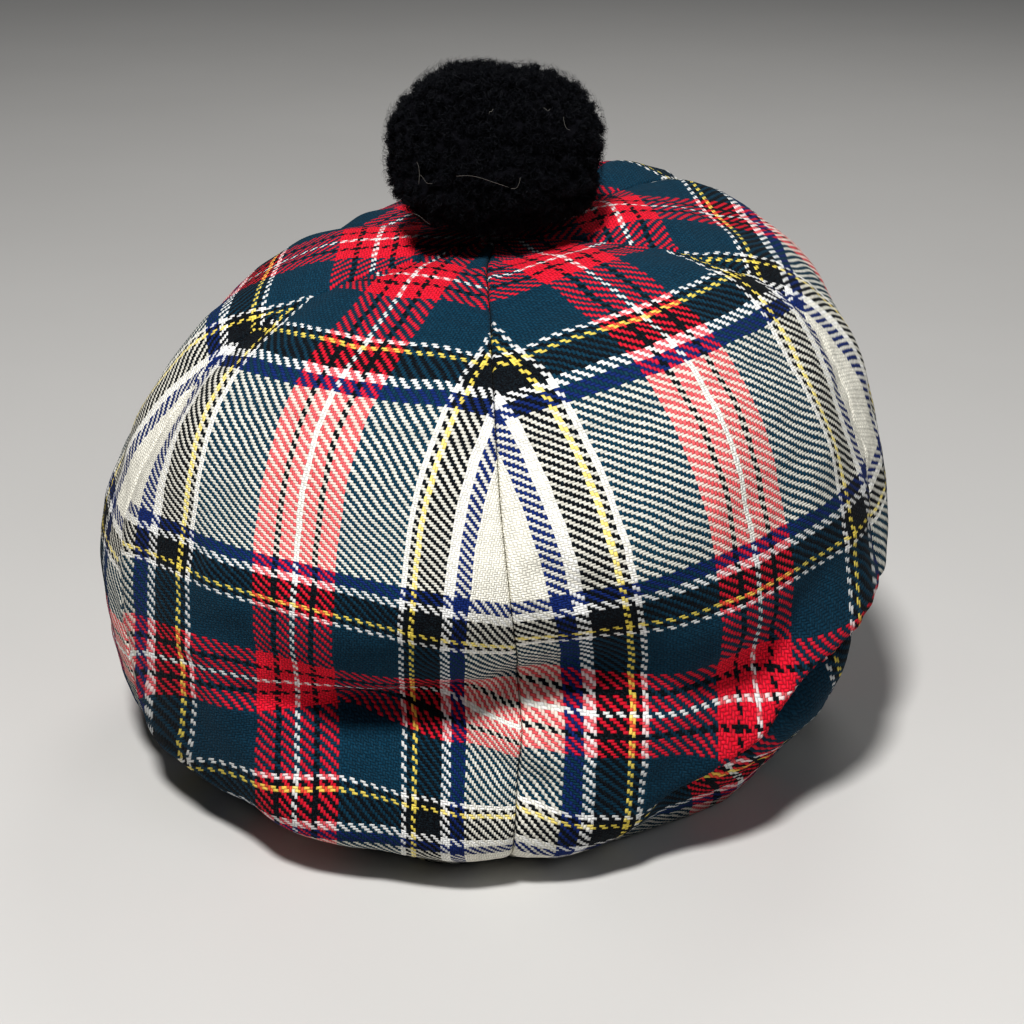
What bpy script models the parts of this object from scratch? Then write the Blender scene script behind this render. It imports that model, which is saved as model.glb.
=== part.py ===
"""Tam o shanter: a round wool cap of six gores with a yarn pompom on top.

The cap stands on its headband, with the full crown drooping round it to the
surface. Metres, +Z up, the front seam faces -Y. The origin is at the level of
the headband's lower edge, below the middle of the crown's outline.
Run with: blender --background --python part.py
"""
import math

import bmesh
import bpy
import numpy as np

# Driving sizes in metres. The two leans are slopes, and the seams' spread and
# turn are in degrees.
CROWN_RADIUS = 0.138
CROWN_HEIGHT = 0.199
CLOTH = 0.002
CLEARANCE = 0.0004
GORES = 6
HEAD_RADIUS = 0.0895
BAND_WALL = 0.004
BAND_HEIGHT = 0.028
EYELET_RADIUS = 0.009
APEX_SIDE = 0.0002
APEX_FORWARD = 0.012
LEAN_SIDE = 0.113
LEAN_BACK = 0.106
SEAM_SPREAD = 9.5
SEAM_TURN = 2.0
SEAM_DIP = 0.0032
SEAM_WIDTH = 0.011
POMPOM_WIDTH = 0.0775
POMPOM_DEPTH = 0.074
POMPOM_HEIGHT = 0.060
TUFT_HEIGHT = 0.0032
TUFT_WIDTH = 0.0125

# Mesh fineness, in faces.
GORE_COLUMNS = 10
GORE_ROWS = 32
TUFT_COUNT = 90
SEED = 7

# Section of the crown from the apex down, round the rim and in to the top of
# the band: radius as a share of CROWN_RADIUS, height as a share of CROWN_HEIGHT.
# The last two rows follow the band and are set by its own sizes.
SECTION = (
    (0.000, 0.962),
    (0.135, 0.966),
    (0.274, 0.970),
    (0.403, 0.961),
    (0.532, 0.943),
    (0.645, 0.919),
    (0.748, 0.880),
    (0.845, 0.813),
    (0.922, 0.727),
    (0.979, 0.633),
    (1.015, 0.535),
    (1.026, 0.426),
    (1.016, 0.310),
    (0.992, 0.205),
    (0.955, 0.120),
    (0.903, 0.055),
    (0.845, 0.012),
    (0.790, -0.010),
)

# How the outline departs from a circle: waves round the crown, with the azimuth
# of the fullest side in degrees and the height as a share of CROWN_RADIUS, first
# for the top of the crown and then for its lower half.
OUTLINE_WAVES = (
    (1, 14.0, 0.127, 10.0, 0.030),
    (2, -27.0, 0.060, -53.0, 0.034),
    (3, 0.0, 0.000, 4.0, 0.010),
)

# How far the front seam strays from the middle on its way down: share of the
# section's length, then degrees. Gores beside it follow, fading out at their
# other seams.
FRONT_SEAM = (
    (0.00, -12.0),
    (0.06, -10.5),
    (0.12, -6.4),
    (0.17, -4.2),
    (0.28, -2.9),
    (0.40, -1.8),
    (0.50, -0.5),
    (0.60, 1.1),
    (0.67, 1.7),
    (0.78, 0.8),
    (1.00, 0.6),
)

# Creases and swells of the resting cloth. Each runs between two places on the
# crown, given by azimuth in degrees and share of the section's length. Width
# and depth are shares of CROWN_RADIUS, and a positive depth stands out.
CREASES = (
    (-27.0, 0.654, 14.0, 0.604, 0.150, -0.122),
    (-28.0, 0.658, 10.0, 0.614, 0.050, -0.030),
    (-42.0, 0.504, 22.0, 0.474, 0.125, 0.038),
    (-38.0, 0.776, 24.0, 0.806, 0.120, 0.054),
    (-66.0, 0.850, -14.0, 0.862, 0.110, -0.036),
    (16.0, 0.635, 42.0, 0.650, 0.090, -0.045),
    (44.0, 0.760, 84.0, 0.660, 0.060, 0.012),
    (3.0, 0.470, 9.0, 0.500, 0.050, -0.030),
    (-6.0, 0.690, 5.0, 0.735, 0.050, -0.025),
    (14.0, 0.850, 60.0, 0.830, 0.180, -0.044),
    (120.0, 0.290, 168.0, 0.270, 0.260, 0.036),
    (120.0, 0.680, 165.0, 0.700, 0.110, -0.050),
    (-165.0, 0.660, -125.0, 0.690, 0.120, -0.045),
)


def smooth_path(rows, count):
    """Points evenly spaced along a smooth curve through the rows."""
    pts = np.array(rows, float)
    first = np.array([-pts[1][0], pts[1][1]])
    last = 2.0 * pts[-1] - pts[-2]
    pts = np.vstack([first, pts, last])
    fine = []
    for i in range(1, len(pts) - 2):
        p0, p1, p2, p3 = pts[i - 1], pts[i], pts[i + 1], pts[i + 2]
        for k in range(40):
            t = k / 40.0
            fine.append(0.5 * ((2.0 * p1) + (p2 - p0) * t
                               + (2.0 * p0 - 5.0 * p1 + 4.0 * p2 - p3) * t * t
                               + (3.0 * p1 - p0 - 3.0 * p2 + p3) * t * t * t))
    fine.append(pts[-2])
    fine = np.array(fine)
    steps = np.hypot(np.diff(fine[:, 0]), np.diff(fine[:, 1]))
    along = np.concatenate([[0.0], np.cumsum(steps)])
    wanted = np.linspace(0.0, along[-1], count)
    return (np.interp(wanted, along, fine[:, 0]),
            np.interp(wanted, along, fine[:, 1]),
            along[-1])


BAND_OUTER = HEAD_RADIUS + BAND_WALL
TUCK_RADIUS = BAND_OUTER + CLEARANCE
SECTION_ROWS = [(r * CROWN_RADIUS, z * CROWN_HEIGHT) for r, z in SECTION]
SECTION_ROWS.append((TUCK_RADIUS + 0.15 * BAND_HEIGHT, 0.35 * BAND_HEIGHT))
SECTION_ROWS.append((TUCK_RADIUS, BAND_HEIGHT))
RADII, HEIGHTS, SECTION_LENGTH = smooth_path(SECTION_ROWS, 400)
SHARES = np.linspace(0.0, 1.0, 400)
FLOOR_SHARE = float(SHARES[np.argmin(HEIGHTS)])


def ease(value):
    """Smooth step from 0 to 1."""
    value = min(max(value, 0.0), 1.0)
    return value * value * (3.0 - 2.0 * value)


def crease_offset(azimuth, share):
    """How far the creases push the cloth out, in metres."""
    total = 0.0
    across = math.degrees(azimuth)
    for az0, sh0, az1, sh1, width, depth in CREASES:
        middle = 0.5 * (az0 + az1)
        turned = (across - middle + 180.0) % 360.0 - 180.0 + middle
        u = math.radians(turned - az0) * CROWN_RADIUS
        v = (share - sh0) * SECTION_LENGTH
        du = math.radians(az1 - az0) * CROWN_RADIUS
        dv = (sh1 - sh0) * SECTION_LENGTH
        t = (u * du + v * dv) / (du * du + dv * dv)
        held = min(max(t, 0.12), 0.88)
        reach = math.hypot(u - held * du, v - held * dv)
        total += depth * CROWN_RADIUS * math.exp(-(reach / (width * CROWN_RADIUS)) ** 2)
    return total


def crown_point(turn, share):
    """Outer surface of the crown, at a turn from the front seam and a share of the section.

    Equal gores have equal turns. The cap is pulled forward where it rests, so
    the two front gores are spread over more of the outline than the others.
    """
    azimuth = turn + math.radians(SEAM_SPREAD * math.sin(turn) + SEAM_TURN * math.sin(turn) ** 2)
    pitch = 2.0 * math.pi / GORES
    from_front = (turn + math.pi) % (2.0 * math.pi) - math.pi
    if abs(from_front) < pitch:
        stray = float(np.interp(share, *np.transpose(FRONT_SEAM)))
        azimuth += math.radians(stray) * math.cos(0.5 * math.pi * from_front / pitch) ** 2
    radius = float(np.interp(share, SHARES, RADII))
    height = float(np.interp(share, SHARES, HEIGHTS))
    step = 0.004
    before, after = max(share - step, 0.0), min(share + step, 1.0)
    dr = float(np.interp(after, SHARES, RADII) - np.interp(before, SHARES, RADII))
    dz = float(np.interp(after, SHARES, HEIGHTS) - np.interp(before, SHARES, HEIGHTS))
    size = math.hypot(dr, dz)
    out_r, out_z = -dz / size, dr / size

    # The outline waves and the lean fade out where the cloth meets the band.
    free = 1.0 - ease((share - FLOOR_SHARE) / (1.0 - FLOOR_SHARE))
    lower = ease((share - 0.25) / 0.5)
    wave = 0.0
    for count, top_peak, top_amount, low_peak, low_amount in OUTLINE_WAVES:
        wave += (1.0 - lower) * top_amount * math.cos(count * (azimuth - math.radians(top_peak)))
        wave += lower * low_amount * math.cos(count * (azimuth - math.radians(low_peak)))
    radius *= 1.0 + wave * free * ease(radius / (0.8 * CROWN_RADIUS))

    from_seam = abs((turn / pitch) - round(turn / pitch)) * pitch * max(radius, 0.001)
    dip = SEAM_DIP * math.exp(-(from_seam / SEAM_WIDTH) ** 2)
    dip *= ease(radius / (0.35 * CROWN_RADIUS)) * free
    push = crease_offset(azimuth, share) * free - dip
    radius += out_r * push
    height += out_z * push

    x = radius * math.sin(azimuth)
    y = -radius * math.cos(azimuth)
    lift = min(max(height / CROWN_HEIGHT, 0.0), 1.0) * free
    x += APEX_SIDE * lift
    y -= APEX_FORWARD * lift
    height += (LEAN_SIDE * x + LEAN_BACK * y) * lift
    # Cloth that reaches the surface lies flat on it.
    return x, y, max(height, 0.0)


def new_material(name, colour, roughness):
    material = bpy.data.materials.new(name)
    material.use_nodes = True
    shader = material.node_tree.nodes["Principled BSDF"]
    shader.inputs["Base Color"].default_value = (*colour, 1.0)
    shader.inputs["Roughness"].default_value = roughness
    shader.inputs["Metallic"].default_value = 0.0
    return material


def new_object(name, mesh, material, collection):
    obj = bpy.data.objects.new(name, mesh)
    mesh.materials.append(material)
    mesh.shade_smooth()
    collection.objects.link(obj)
    return obj


def make_gore(index, collection):
    """One sixth of the crown, cut along the seams on both sides."""
    bm = bmesh.new()
    bmesh.ops.create_grid(bm, x_segments=GORE_COLUMNS, y_segments=GORE_ROWS, size=1.0)
    pitch = 2.0 * math.pi / GORES
    centre = (index + 0.5) * pitch
    first = float(np.interp(EYELET_RADIUS, RADII[:100], SHARES[:100]))
    for vert in bm.verts:
        row = 0.5 * (1.0 - vert.co.y)
        # Rows stand closer together towards the creases and the rim.
        share = first + (1.0 - first) * row * (1.35 - 0.35 * row)
        radius = float(np.interp(share, SHARES, RADII))
        half = 0.5 * pitch - 0.5 * CLEARANCE / radius
        # Columns stand closer together towards the seams.
        column = 0.75 * vert.co.x + 0.25 * math.sin(0.5 * math.pi * vert.co.x)
        vert.co = crown_point(centre + half * column, share)
    bmesh.ops.recalc_face_normals(bm, faces=bm.faces)
    bm.faces.ensure_lookup_table()
    probe = max(bm.faces, key=lambda f: f.calc_center_median().z)
    if probe.normal.z < 0.0:
        bmesh.ops.reverse_faces(bm, faces=bm.faces)
    name = "gore_%d" % (index + 1)
    mesh = bpy.data.meshes.new(name)
    bm.to_mesh(mesh)
    bm.free()
    cloth = new_material(name + "_tartan_wool", (0.42, 0.10, 0.11), 0.85)
    obj = new_object(name, mesh, cloth, collection)
    wall = obj.modifiers.new("cloth", "SOLIDIFY")
    wall.thickness = CLOTH
    wall.offset = -1.0
    wall.use_even_offset = False
    return obj


def make_headband(collection):
    """A plain doubled strip of cloth round the head opening."""
    mesh = bpy.data.meshes.new("headband")
    rows = (
        (BAND_OUTER, 0.0, BAND_HEIGHT),
        (BAND_OUTER, 0.0, 0.0),
        (HEAD_RADIUS, 0.0, 0.0),
        (HEAD_RADIUS, 0.0, BAND_HEIGHT),
    )
    mesh.from_pydata(rows, [(0, 1), (1, 2), (2, 3), (3, 0)], [])
    cloth = new_material("headband_black_cotton", (0.015, 0.015, 0.018), 0.8)
    obj = new_object("headband", mesh, cloth, collection)
    turn = obj.modifiers.new("turn", "SCREW")
    turn.axis = "Z"
    turn.steps = GORES * GORE_COLUMNS
    turn.render_steps = GORES * GORE_COLUMNS
    turn.use_merge_vertices = True
    turn.merge_threshold = 0.0001
    turn.use_normal_calculate = False
    return obj


def tuft_directions():
    """Tufts spread evenly over the ball and shifted a little at random."""
    rng = np.random.default_rng(SEED)
    rows = []
    for i in range(TUFT_COUNT):
        z = 1.0 - 2.0 * (i + 0.5) / TUFT_COUNT
        ring = math.sqrt(1.0 - z * z)
        turn = i * math.pi * (3.0 - math.sqrt(5.0))
        rows.append((ring * math.cos(turn), ring * math.sin(turn), z))
    rows = np.array(rows) + rng.normal(0.0, 0.05, (TUFT_COUNT, 3))
    return rows / np.linalg.norm(rows, axis=1)[:, None]


def pompom_radius(direction, tufts):
    """Distance from the ball's middle to its surface, with the tufts."""
    half = np.array([POMPOM_WIDTH, POMPOM_DEPTH, POMPOM_HEIGHT]) * 0.5 - TUFT_HEIGHT
    power = 2.5
    base = float(np.sum(np.abs(direction / half) ** power)) ** (-1.0 / power)
    reach = np.arccos(np.clip(tufts @ direction, -1.0, 1.0)) * base
    near = float(np.min(reach)) / TUFT_WIDTH
    return base + TUFT_HEIGHT * math.sqrt(max(1.0 - near * near, 0.0))


def make_pompom(collection):
    """A dense ball of chunky yarn, slightly squashed, seated on the apex."""
    tufts = tuft_directions()
    bm = bmesh.new()
    bmesh.ops.create_icosphere(bm, subdivisions=4, radius=1.0)
    for vert in bm.verts:
        direction = np.array(vert.co.normalized())
        vert.co = direction * pompom_radius(direction, tufts)
    apex = crown_point(0.0, 0.0)
    # The ball is lowered until its underside clears the crown by CLEARANCE.
    under = []
    for ring in range(0, 40):
        for step in range(72):
            under.append(crown_point(step * math.pi / 36.0, ring * 0.003))
    under = np.array(under)
    lift = -1.0
    for vert in bm.verts:
        x, y, z = vert.co
        if z < -0.35 * POMPOM_HEIGHT:
            near = np.hypot(under[:, 0] - apex[0] - x, under[:, 1] - apex[1] - y)
            lift = max(lift, float(under[near.argmin(), 2]) - z)
    middle = (apex[0], apex[1], lift + CLEARANCE)
    mesh = bpy.data.meshes.new("pompom")
    bm.to_mesh(mesh)
    bm.free()
    yarn = new_material("pompom_black_yarn", (0.006, 0.006, 0.010), 0.9)
    obj = new_object("pompom", mesh, yarn, collection)
    obj.location = middle
    return obj


def main():
    for obj in list(bpy.data.objects):
        bpy.data.objects.remove(obj, do_unlink=True)
    collection = bpy.data.collections.new("tam_o_shanter")
    bpy.context.scene.collection.children.link(collection)
    root = bpy.data.objects.new("tam_o_shanter", None)
    collection.objects.link(root)
    pieces = [make_gore(index, collection) for index in range(GORES)]
    pieces.append(make_headband(collection))
    pieces.append(make_pompom(collection))
    for piece in pieces:
        piece.parent = root
    # The outline's middle, seen from above, stands over the world's origin.
    corners = np.array([v.co[:2] for piece in pieces[:GORES] for v in piece.data.vertices])
    middle = 0.5 * (corners.min(axis=0) + corners.max(axis=0))
    root.location = (-middle[0], -middle[1], 0.0)


main()
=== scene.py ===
"""Looks of the tam o shanter: dress tartan gores, hidden headband and yarn pompom."""
import math

import bmesh
import bpy
import numpy as np
from mathutils import Matrix, Vector
from mathutils.kdtree import KDTree


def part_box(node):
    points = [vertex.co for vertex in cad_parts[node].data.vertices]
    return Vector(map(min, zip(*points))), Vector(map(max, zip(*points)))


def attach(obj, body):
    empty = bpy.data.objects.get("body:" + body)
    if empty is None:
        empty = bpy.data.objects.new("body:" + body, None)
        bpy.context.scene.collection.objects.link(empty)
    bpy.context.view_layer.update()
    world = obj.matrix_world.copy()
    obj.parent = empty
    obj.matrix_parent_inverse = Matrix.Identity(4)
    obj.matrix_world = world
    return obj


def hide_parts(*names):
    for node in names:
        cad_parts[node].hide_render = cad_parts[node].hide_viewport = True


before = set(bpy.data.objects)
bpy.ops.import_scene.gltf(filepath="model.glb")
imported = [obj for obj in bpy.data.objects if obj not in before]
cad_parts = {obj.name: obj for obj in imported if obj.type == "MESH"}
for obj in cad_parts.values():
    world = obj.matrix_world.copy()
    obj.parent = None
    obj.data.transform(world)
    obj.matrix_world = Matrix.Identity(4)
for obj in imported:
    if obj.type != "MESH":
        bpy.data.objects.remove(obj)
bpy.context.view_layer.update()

# The photograph's frame in pixels, and its view: angles, distance in metres, scale
# at the point aimed at, and the pixels by which the view is aimed aside.
PICTURE = 1024.0
ELEVATION = math.radians(20.2)
AZIMUTH = math.radians(-2.8)
ROLL = math.radians(-0.7)
DISTANCE = 0.840
AIM_HEIGHT = 0.10
PIXELS_PER_METRE = 2760.0
OFFSET = (-15.6, -32.1)
SENSOR = 36.0
# Name, place, target, width, watts and colour.
LIGHTS = (
    ("key", (-0.24, -0.92, 1.52), (0.0, 0.0, 0.10), 0.24, 36.0, (1.0, 0.985, 0.965)),
    ("fill", (0.9, -1.2, 1.20), (0.0, 0.0, 0.10), 0.8, 3.0, (0.92, 0.96, 1.0)),
    ("back", (0.4, 1.2, 1.3), (0.0, 0.0, 0.12), 0.8, 5.0, (1.0, 0.98, 0.95)),
)
AMBIENT_COLOUR = (0.86, 0.90, 0.95, 1.0)
AMBIENT = 0.07

# The crown's form, in metres, as in the solids.
CROWN_RADIUS = 0.138
CROWN_HEIGHT = 0.199
CLEARANCE = 0.0004
GORES = 6
HEAD_RADIUS = 0.0895
BAND_WALL = 0.004
BAND_HEIGHT = 0.028
APEX_SIDE = 0.0002
APEX_FORWARD = 0.012
LEAN_SIDE = 0.113
LEAN_BACK = 0.106
SEAM_SPREAD = 9.5
SEAM_TURN = 2.0
SEAM_DIP = 0.0032
SEAM_WIDTH = 0.011

SECTION = (
    (0.000, 0.962), (0.135, 0.966), (0.274, 0.970), (0.403, 0.961), (0.532, 0.943),
    (0.645, 0.919), (0.748, 0.880), (0.845, 0.813), (0.922, 0.727), (0.979, 0.633),
    (1.015, 0.535), (1.026, 0.426), (1.016, 0.310), (0.992, 0.205), (0.955, 0.120),
    (0.903, 0.055), (0.845, 0.012), (0.790, -0.010),
)
OUTLINE_WAVES = (
    (1, 14.0, 0.127, 10.0, 0.030),
    (2, -27.0, 0.060, -53.0, 0.034),
    (3, 0.0, 0.000, 4.0, 0.010),
)
# Share of the section and degrees by which the front seam strays sideways.
FRONT_SEAM = (
    (0.00, -12.0), (0.06, -10.5), (0.12, -6.4), (0.17, -4.2), (0.28, -2.9), (0.40, -1.8),
    (0.50, -0.5), (0.60, 1.1), (0.67, 1.7), (0.78, 0.8), (1.00, 0.6),
)
# Azimuth and share of each crease's two ends, then its width and depth as
# shares of CROWN_RADIUS. The first rows are those of the solids.
CREASES = (
    (-27.0, 0.654, 14.0, 0.604, 0.150, -0.122),
    (-28.0, 0.658, 10.0, 0.614, 0.050, -0.030),
    (-42.0, 0.504, 22.0, 0.474, 0.125, 0.038),
    (-38.0, 0.776, 24.0, 0.806, 0.120, 0.054),
    (-66.0, 0.850, -14.0, 0.862, 0.110, -0.036),
    (16.0, 0.635, 42.0, 0.650, 0.090, -0.045),
    (44.0, 0.760, 84.0, 0.660, 0.060, 0.012),
    (3.0, 0.470, 9.0, 0.500, 0.050, -0.030),
    (-6.0, 0.690, 5.0, 0.735, 0.050, -0.025),
    (14.0, 0.850, 60.0, 0.830, 0.180, -0.044),
    (120.0, 0.290, 168.0, 0.270, 0.260, 0.036),
    (120.0, 0.680, 165.0, 0.700, 0.110, -0.050),
    (-165.0, 0.660, -125.0, 0.690, 0.120, -0.045),
)

# Sharper folds of the front. Each is a line of azimuth, share and strength, then
# in metres its push, its width above and below the line, and the sag of the lip
# over it, with the lip's place above the line and its width.
FOLDS = (
    (((-50, 0.600, 0.0), (-42, 0.625, 0.3), (-34, 0.645, 0.5), (-28, 0.656, 0.8), (-22, 0.658, 1.0),
      (-14, 0.652, 1.0), (-7, 0.644, 0.9), (-2, 0.636, 0.7), (4, 0.628, 0.6), (12, 0.616, 0.4),
      (22, 0.608, 0.0)),
     -0.0040, 0.0080, 0.0035, 0.0, 0.013, 0.012),
    (((20, 0.775, 0.0), (27, 0.745, 0.6), (33, 0.724, 1.0), (38, 0.704, 1.0), (42, 0.680, 1.0),
      (47, 0.654, 1.0), (54, 0.642, 1.0), (62, 0.634, 0.9), (72, 0.640, 0.7), (84, 0.650, 0.0)),
     0.0065, 0.0120, 0.0032, 0.0030, 0.003, 0.008),
    (((20, 0.800, 0.0), (27, 0.772, 0.6), (33, 0.752, 1.0), (38, 0.732, 1.0), (42, 0.708, 1.0),
      (47, 0.684, 1.0), (54, 0.671, 1.0), (62, 0.662, 0.9), (72, 0.666, 0.6), (84, 0.672, 0.0)),
     -0.0065, 0.0045, 0.0090, 0.0, 0.004, 0.008),
    (((-8, 0.555, 0.0), (-6, 0.580, 0.8), (-3, 0.625, 1.0), (0, 0.660, 1.0), (3, 0.690, 0.7),
      (6, 0.715, 0.0)),
     0.0022, 0.0040, 0.0050, 0.0, 0.004, 0.008),
)

# Tartan: width of a thread in metres, then the sett's colours, each from the thread
# where it starts, counted from the middle of the red stripe outwards.
THREAD = 0.00093
HALF_SETT = 102
V_START = 147.0
SETT = (
    (0, "white"), (1, "red"), (6, "black"), (8, "red"), (15, "green"), (39, "white"),
    (41, "black"), (43, "yellow"), (45, "black"), (55, "white"), (59, "blue"), (65, "cream"),
)
COLOURS = {
    "white": (0.775, 0.775, 0.762),
    "cream": (0.74, 0.718, 0.635),
    "red": (0.72, 0.010, 0.034),
    "black": (0.004, 0.004, 0.006),
    "green": (0.004, 0.036, 0.066),
    "yellow": (0.78, 0.62, 0.11),
    "blue": (0.008, 0.022, 0.13),
}
# Cloth coordinates are threads divided by this, to stay small.
UV_SPAN = 256.0
# Cloth tucked away under the ridge at the lower right, FOLDS row 1: threads by which
# it jumps across and down, and how far in metres each jump carries on.
RIDGE_ROW = 1
TUCK_ACROSS = 24.0
TUCK_DOWN = 17.0
TUCK_REACH_ACROSS = 0.020
TUCK_REACH_DOWN = 0.024
# A gore in metres: radius of the hole at the apex, wall, radius of the roll at a
# seam, columns beside a seam, and depths of the allowance inside it.
APEX_HOLE = 0.0045
SHEET_WALL = 0.0016
SEAM_ROLL = 0.0016
EDGE_STEPS = (0.0, 0.00025, 0.0006, 0.0011, 0.0018)
ALLOWANCE = (0.0018, 0.0052)
ALLOWANCE_THREADS = (1.9, 5.6)
# Radius that the pompom's noise is scaled to.
BALL_RADIUS = 0.037
# Pale hairs on the pompom: start and end (across, up) and bow.
PALE_HAIRS = (
    (-0.70, 0.02, -0.66, -0.16, 0.06), (-0.66, -0.08, -0.56, -0.14, -0.10),
    (-0.38, -0.06, 0.08, -0.15, 0.07), (-0.67, -0.40, -0.56, -0.52, 0.12),
    (0.56, 0.42, 0.60, 0.30, -0.15), (0.18, -0.06, 0.10, -0.16, 0.20),
    (-0.10, 0.50, -0.06, 0.54, 0.10), (0.40, 0.52, 0.46, 0.50, -0.15),
)
# Where threads of the two front gores lie in the photograph: the thread across
# from the gore's middle, the thread down, and the pixel across and down. A thread
# that can't be told there is None.
MARKS = {
    0: (
        (0, -102, 573, 250), (0, -40, 662, 365), (0, 40, 749, 544), (0, 102, 765, 697),
        (-44, -40, 547, 398), (-44, 40, 612, 600), (-44, 102, 629, 715), (-44, 142, 620, 821),
        (-62, -40, 522, 407), (-62, 40, 561, 598), (-62, 102, 585, 708), (-62, 142, 573, 818),
        (44, -40, 767, 310), (44, 40, 846, 493), (62, -40, 797, 297), (62, 40, 867, 472),
    ),
    5: (
        (0, -102, 414, 273), (0, -40, 327, 383), (0, 40, 294, 570), (0, 102, 297, 690),
        (0, 142, 294, 777), (0, 159, 293, 818), (-44, -40, 228, 355), (-44, 40, 180, 533),
        (-44, 102, 183, 662), (-44, 142, 172, 765), (44, -40, 456, 397), (44, 40, 414, 599),
        (44, 102, 415, 698), (44, 142, 410, 798), (62, 40, 466, 602), (62, 102, 459, 702),
        (62, 142, 455, 800), (62, 164, 455, 852), (-62, -40, 209, 348), (-62, 40, 141, 517),
        (-44, None, 187, 607), (-44, None, 188, 640), (-44, None, 178, 680), (-44, None, 173, 727),
        (-40, None, 201, 613), (-40, None, 197, 657), (-40, None, 190, 697), (-40, None, 185, 730),
        (-62, None, 147, 583), (-62, None, 143, 640), (-62, None, 137, 680), (None, 87, 140, 613),
        (None, 87, 173, 627), (None, 87, 250, 640), (None, 102, 137, 653), (None, 102, 173, 662),
        (None, 102, 230, 673), (None, 117, 133, 693), (None, 117, 173, 703), (None, 117, 250, 708),
        (None, 142, 193, 770), (None, 142, 247, 773), (None, 142, 323, 778),
    ),
}
# Marks beside the ridge at the lower right, where the cloth turns away.
FAINT_MARKS = ((None, 87, 778, 661), (None, 87, 812, 647), (None, 87, 845, 618), (None, 87, 862, 594))
FAINT_TRUST = 0.6
# The cloth of those gores is laid through the marks: a table of threads down the
# middle at even shares of the section, and small terms. Weak ties hold the table
# smooth and its steps even, the more so at its lower end, and the terms small.
TABLE_ROWS = 11
APEX_THREAD = -148.0
STEP_THREADS = 36.6
APEX_TIE = 0.3
STEP_TIE = 0.04
LAST_STEPS_TIE = 0.3
BEND_TIE = 0.12
DOWN_TIES = (0.15, 0.15, 0.15, 0.15, 0.06, 0.06)
ACROSS_TIES = (0.02, 0.05, 0.05, 0.1, 0.1, 0.1, 0.2, 0.2, 0.1, 0.1)
DOWN_SLACK = 5.0
ACROSS_SLACK = 4.0


def smooth_path(rows, count):
    """Points evenly spaced along a smooth curve through the rows."""
    pts = np.array(rows, float)
    pts = np.vstack([[-pts[1][0], pts[1][1]], pts, 2.0 * pts[-1] - pts[-2]])
    t = np.linspace(0.0, 1.0, 40, endpoint=False)[:, None]
    fine = []
    for i in range(1, len(pts) - 2):
        p0, p1, p2, p3 = pts[i - 1], pts[i], pts[i + 1], pts[i + 2]
        fine.append(0.5 * (2 * p1 + (p2 - p0) * t + (2 * p0 - 5 * p1 + 4 * p2 - p3) * t ** 2
                           + (3 * p1 - p0 - 3 * p2 + p3) * t ** 3))
    fine = np.vstack(fine + [pts[-2:-1]])
    along = np.concatenate([[0.0], np.cumsum(np.hypot(*np.diff(fine, axis=0).T))])
    wanted = np.linspace(0.0, along[-1], count)
    return np.interp(wanted, along, fine[:, 0]), np.interp(wanted, along, fine[:, 1]), along[-1]


BAND_OUTER = HEAD_RADIUS + BAND_WALL
TUCK_RADIUS = BAND_OUTER + CLEARANCE
SECTION_ROWS = [(r * CROWN_RADIUS, z * CROWN_HEIGHT) for r, z in SECTION]
SECTION_ROWS.append((TUCK_RADIUS + 0.15 * BAND_HEIGHT, 0.35 * BAND_HEIGHT))
SECTION_ROWS.append((TUCK_RADIUS, BAND_HEIGHT))
RADII, HEIGHTS, SECTION_LENGTH = smooth_path(SECTION_ROWS, 400)
SHARES = np.linspace(0.0, 1.0, 400)
RADIUS_SLOPE = np.gradient(RADII, SHARES * SECTION_LENGTH)
FLOOR_SHARE = float(SHARES[np.argmin(HEIGHTS)])

low, high = (Vector(corner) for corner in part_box("headband"))
PLACE = np.array([0.5 * (low.x + high.x), 0.5 * (low.y + high.y), 0.0])


def ease(value):
    """Smooth step from 0 to 1."""
    value = np.clip(value, 0.0, 1.0)
    return value * value * (3.0 - 2.0 * value)


def waves(points, size, count, seed):
    """Smooth random field of about unit height, with features of the given size."""
    local = np.random.default_rng(seed)
    total = np.zeros(points.shape[:-1])
    for _ in range(count):
        way = local.normal(0.0, 1.0, 3)
        way *= 2.0 * math.pi / size / np.linalg.norm(way) * local.uniform(0.6, 1.5)
        total += np.sin(points @ way + local.uniform(0.0, 2.0 * math.pi))
    return total * math.sqrt(2.0 / count)


def crease_offset(azimuth, share, rows):
    """Push out of the soft creases, in metres."""
    total = np.zeros(np.broadcast(azimuth, share).shape)
    across = np.degrees(azimuth)
    for az0, sh0, az1, sh1, width, depth in rows:
        middle = 0.5 * (az0 + az1)
        turned = (across - middle + 180.0) % 360.0 - 180.0 + middle
        u = np.radians(turned - az0) * CROWN_RADIUS
        v = (share - sh0) * SECTION_LENGTH
        du = math.radians(az1 - az0) * CROWN_RADIUS
        dv = (sh1 - sh0) * SECTION_LENGTH
        held = np.clip((u * du + v * dv) / (du * du + dv * dv), 0.12, 0.88)
        reach = np.hypot(u - held * du, v - held * dv)
        total += depth * CROWN_RADIUS * np.exp(-(reach / (width * CROWN_RADIUS)) ** 2)
    return total


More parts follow.
